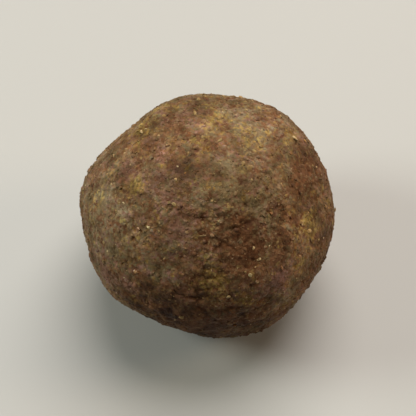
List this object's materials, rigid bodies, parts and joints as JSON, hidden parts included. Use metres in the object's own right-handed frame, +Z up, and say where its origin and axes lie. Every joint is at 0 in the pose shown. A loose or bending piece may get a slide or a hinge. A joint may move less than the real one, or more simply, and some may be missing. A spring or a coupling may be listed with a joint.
{
  "type": "ragi laddu",
  "caption": "Hand-rolled ball of finger-millet flour, slightly flattened, with soft palm-pressed faces, a grainy surface and a small flat underneath.",
  "frame": {"origin": "on the surface that the ball rests on, under the middle of its outline", "axes": "+Z up; -Y towards the viewer of the picture, who looks down at about 56 degrees; +X to that viewer's right"},
  "size_m": [0.0404, 0.0402, 0.0363],
  "materials": {
    "ragi_flour": "dry, grainy, dark brown roasted flour bound with a little fat"
  },
  "bodies": {
    "root": {"laddu": "ragi_flour"}
  },
  "joints": []
}
